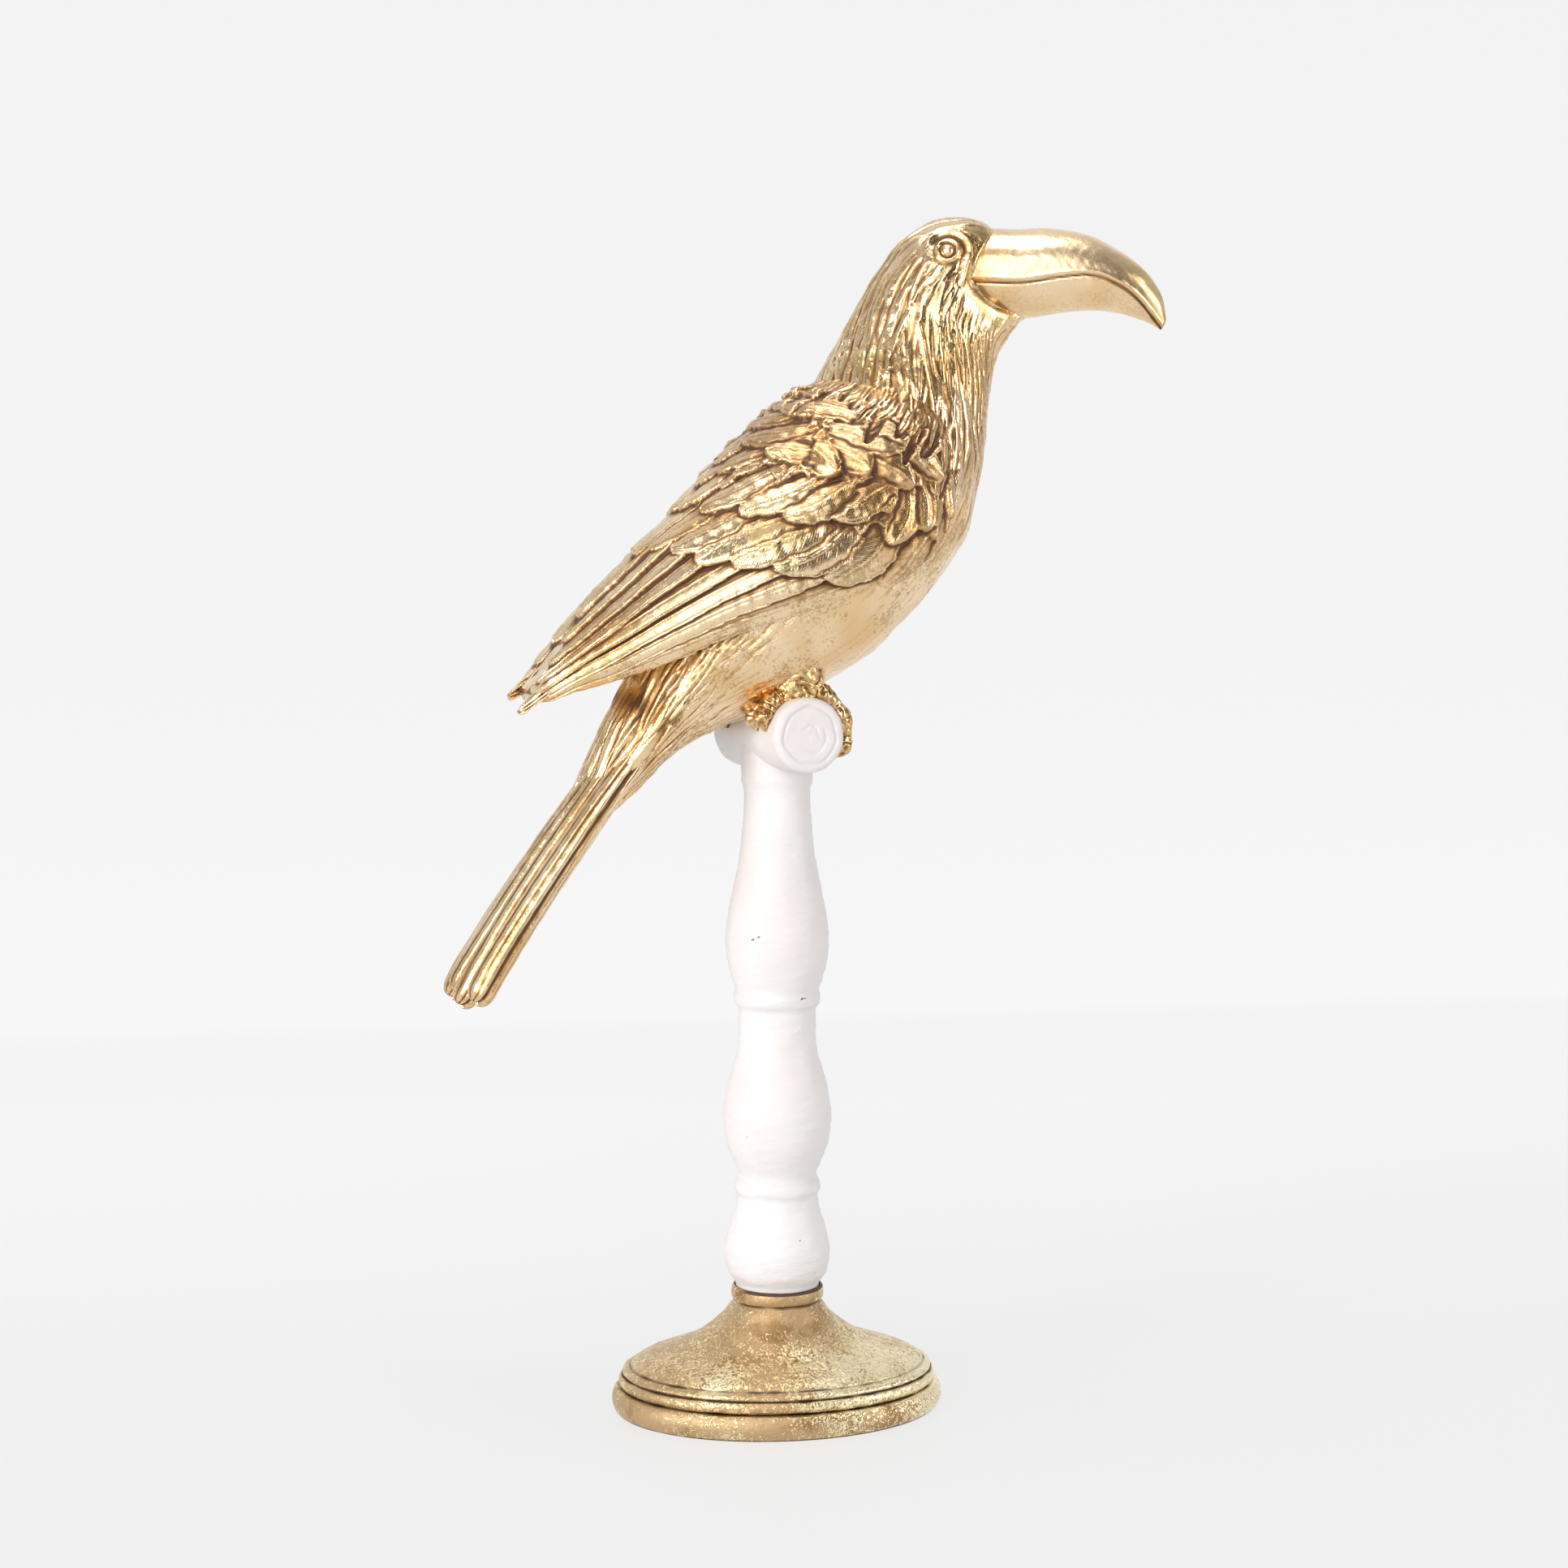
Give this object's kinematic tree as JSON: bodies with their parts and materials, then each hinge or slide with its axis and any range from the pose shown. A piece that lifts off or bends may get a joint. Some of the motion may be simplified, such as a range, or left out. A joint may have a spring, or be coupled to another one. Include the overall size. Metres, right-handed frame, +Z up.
{
  "type": "toucan statue",
  "caption": "Gilded cast-resin toucan gripping a short log on a white turned column with an oval gilded foot.",
  "frame": {"origin": "centre of the oval foot's flat underside", "axes": "+Z up along the column, +X along the foot's long axis towards the bill, +Y across the foot"},
  "size_m": [0.2514, 0.0967, 0.4207],
  "materials": {
    "gilding": "gold-painted cast resin with brown wash in the carving",
    "white_paint": "brushed satin white paint on cast resin",
    "foot_gilding": "pale gold flakes speckled over taupe on cast resin"
  },
  "bodies": {
    "root": {"toucan": "gilding", "perch_column": "white_paint", "oval_base": "foot_gilding"}
  },
  "joints": []
}
